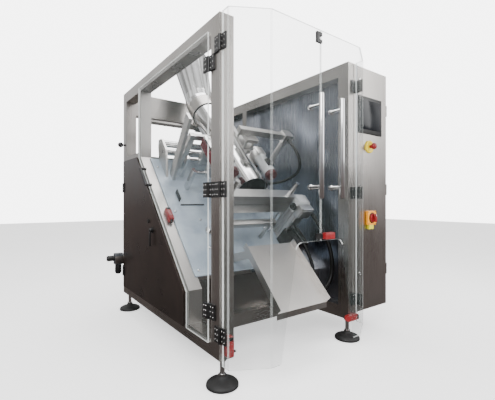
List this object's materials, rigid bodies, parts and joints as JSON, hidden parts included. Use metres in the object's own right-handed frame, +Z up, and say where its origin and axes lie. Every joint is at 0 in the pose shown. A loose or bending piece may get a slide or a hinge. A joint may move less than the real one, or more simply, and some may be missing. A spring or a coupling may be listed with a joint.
{
  "type": "vertical form fill sealer",
  "caption": "Inclined form fill seal packaging machine: framed stand with clear guard doors, forming tube, pull belts, jaws, film path, chute and side control cabinet.",
  "frame": {"origin": "floor level, at the centre of the machine's outline", "axes": "+X towards the control cabinet, +Y from the guard doors to the back, +Z up"},
  "size_m": [1.5264, 1.847, 2.1868],
  "materials": {
    "frame_steel": "satin stainless steel",
    "bright_steel": "polished stainless steel",
    "clear_sheet": "clear polycarbonate",
    "black_moulding": "black moulded plastic",
    "black_hose": "black rubber hose",
    "dark_cover": "dark brown-black cover",
    "switch_red": "red plastic",
    "switch_yellow": "yellow plastic",
    "cabinet_steel": "satin stainless sheet",
    "cabinet_inside": "light grey equipment",
    "screen_face": "dark glass front",
    "slope_grey": "pale blue-grey paint",
    "machined_steel": "machined steel",
    "drive_grey": "dark cast aluminium",
    "belt_red": "dark red belt",
    "plain_aluminium": "turned aluminium"
  },
  "bodies": {
    "machine": {"corner_posts": "frame_steel", "frame_rails": "frame_steel", "slant_members": "frame_steel", "foot_pads": "black_moulding", "foot_spindles": "bright_steel", "frame_panels": "frame_steel", "rear_cover": "frame_steel", "right_side_wall": "dark_cover", "fixed_hinges": "black_moulding", "frame_switches": "switch_red", "cabinet_shell": "cabinet_steel", "cabinet_gear": "cabinet_inside", "slope_plate": "slope_grey", "forming_tube": "bright_steel", "infeed_funnel": "bright_steel", "forming_shoulder": "frame_steel", "support_arms": "frame_steel", "guide_rods": "bright_steel", "jaw_drive": "drive_grey", "sealer_mount": "machined_steel", "bearing_brackets": "machined_steel", "discharge_chute": "frame_steel", "upper_conduit": "black_hose", "motor_conduit": "black_hose", "jaw_conduit": "black_hose", "conduit_glands": "black_hose", "air_unit": "drive_grey"},
    "left_door": {"left_door_panel": "clear_sheet", "left_door_handle": "bright_steel", "left_door_fittings": "black_moulding"},
    "right_door": {"right_door_panel": "clear_sheet", "right_door_handle": "bright_steel", "right_door_fittings": "black_moulding"},
    "side_door": {"side_door_panel": "clear_sheet", "side_door_fittings": "black_moulding"},
    "service_door": {"service_door_panel": "dark_cover", "service_door_fittings": "black_moulding"},
    "service_lever": {"service_handle": "black_moulding"},
    "cabinet_lid": {"cabinet_door": "cabinet_steel", "screen": "screen_face", "control_plates": "switch_yellow"},
    "stop_control": {"stop_button": "switch_red"},
    "main_switch": {"main_switch_handle": "switch_red"},
    "jaw_front": {"front_jaw": "machined_steel"},
    "jaw_rear": {"rear_jaw": "machined_steel"},
    "cutter": {"knife": "machined_steel"},
    "left_pull": {"left_belt_unit": "drive_grey", "left_belt": "belt_red"},
    "right_pull": {"right_belt_unit": "drive_grey", "right_belt": "belt_red"},
    "left_drive": {"left_drive_pulley": "plain_aluminium"},
    "left_idler": {"left_idler_pulley": "plain_aluminium"},
    "right_drive": {"right_drive_pulley": "plain_aluminium"},
    "right_idler": {"right_idler_pulley": "plain_aluminium"},
    "seam_sealer": {"sealer_bar": "plain_aluminium"},
    "roller_upper": {"upper_roller": "bright_steel"},
    "roller_lower": {"lower_roller": "bright_steel"},
    "film_shaft": {"reel_shaft": "bright_steel"},
    "pressure_knob": {"air_knob": "black_moulding"},
    "index_plunger": {"ball_knob": "black_moulding"}
  },
  "joints": [
    {"name": "left_door_hinge", "type": "hinge", "parent": "machine", "child": "left_door", "pos_m": [-0.64275, -0.6855, 0.951], "axis": [0, 0, -1], "range_deg": [0, 110]},
    {"name": "right_door_hinge", "type": "hinge", "parent": "machine", "child": "right_door", "pos_m": [0.40925, -0.6855, 0.951], "axis": [0, 0, 1], "range_deg": [0, 95]},
    {"name": "side_door_hinge", "type": "hinge", "parent": "machine", "child": "side_door", "pos_m": [-0.64575, -0.5875, 0.951], "axis": [0, 0, 1], "range_deg": [0, 100]},
    {"name": "service_door_hinge", "type": "hinge", "parent": "machine", "child": "service_door", "pos_m": [-0.64975, 0.8135, 0.669], "axis": [0, 0, -1], "range_deg": [0, 100]},
    {"name": "service_lever_turn", "type": "hinge", "parent": "service_door", "child": "service_lever", "pos_m": [-0.66105, 0.1495, 0.705], "axis": [1, 0, 0], "range_deg": [0, 90]},
    {"name": "cabinet_door_hinge", "type": "hinge", "parent": "machine", "child": "cabinet_lid", "pos_m": [0.75825, -0.6705, 0.98], "axis": [0, 0, 1], "range_deg": [0, 100]},
    {"name": "stop_button_press", "type": "slide", "parent": "cabinet_lid", "child": "stop_control", "axis": [0, 1, 0], "range_m": [0, 0.006], "stiffness_N_per_m": 1500},
    {"name": "main_switch_turn", "type": "hinge", "parent": "cabinet_lid", "child": "main_switch", "pos_m": [0.55325, -0.6955, 0.785], "axis": [0, 1, 0], "range_deg": [0, 90]},
    {"name": "front_jaw_slide", "type": "slide", "parent": "machine", "child": "jaw_front", "axis": [0, -0.7202, 0.6938], "range_m": [0, 0.06]},
    {"name": "rear_jaw_slide", "type": "slide", "parent": "machine", "child": "jaw_rear", "axis": [0, -0.7202, 0.6938], "range_m": [-0.06, 0]},
    {"name": "knife_slide", "type": "slide", "parent": "jaw_front", "child": "cutter", "axis": [0, 0.7202, -0.6938], "range_m": [0, 0.014]},
    {"name": "left_pull_slide", "type": "slide", "parent": "machine", "child": "left_pull", "axis": [-1, 0, 0], "range_m": [0, 0.025]},
    {"name": "right_pull_slide", "type": "slide", "parent": "machine", "child": "right_pull", "axis": [1, 0, 0], "range_m": [0, 0.025]},
    {"name": "left_drive_turn", "type": "hinge", "parent": "left_pull", "child": "left_drive", "pos_m": [-0.26615, -0.04334, 1.1635], "axis": [0, -0.7202, 0.6938], "continuous": true},
    {"name": "left_idler_turn", "type": "hinge", "parent": "left_pull", "child": "left_idler", "pos_m": [-0.26615, 0.10652, 1.31906], "axis": [0, -0.7202, 0.6938], "continuous": true},
    {"name": "right_drive_turn", "type": "hinge", "parent": "right_pull", "child": "right_drive", "pos_m": [0.03265, -0.04334, 1.1635], "axis": [0, -0.7202, 0.6938], "continuous": true},
    {"name": "right_idler_turn", "type": "hinge", "parent": "right_pull", "child": "right_idler", "pos_m": [0.03265, 0.10652, 1.31906], "axis": [0, -0.7202, 0.6938], "continuous": true},
    {"name": "seam_sealer_slide", "type": "slide", "parent": "machine", "child": "seam_sealer", "axis": [0, 0.7202, -0.6938], "range_m": [0, 0.028]},
    {"name": "upper_roller_turn", "type": "hinge", "parent": "machine", "child": "roller_upper", "pos_m": [-0.11675, 0.3845, 1.33], "axis": [1, 0, 0], "continuous": true},
    {"name": "lower_roller_turn", "type": "hinge", "parent": "machine", "child": "roller_lower", "pos_m": [-0.11675, 0.3325, 1.262], "axis": [1, 0, 0], "continuous": true},
    {"name": "film_shaft_turn", "type": "hinge", "parent": "machine", "child": "film_shaft", "pos_m": [-0.11675, 0.5045, 0.64], "axis": [1, 0, 0], "continuous": true},
    {"name": "pressure_knob_turn", "type": "hinge", "parent": "machine", "child": "pressure_knob", "pos_m": [-0.70475, 0.8935, 0.424], "axis": [1, 0, 0], "continuous": true},
    {"name": "index_plunger_pull", "type": "slide", "parent": "machine", "child": "index_plunger", "axis": [-1, 0, 0], "range_m": [0, 0.012], "stiffness_N_per_m": 1500}
  ],
  "couplings": [
    {"joint": "rear_jaw_slide", "follows": "front_jaw_slide", "ratio": -1},
    {"joint": "right_pull_slide", "follows": "left_pull_slide", "ratio": 1},
    {"joint": "left_idler_turn", "follows": "left_drive_turn", "ratio": 1},
    {"joint": "right_drive_turn", "follows": "left_drive_turn", "ratio": -1},
    {"joint": "right_idler_turn", "follows": "left_drive_turn", "ratio": -1}
  ]
}
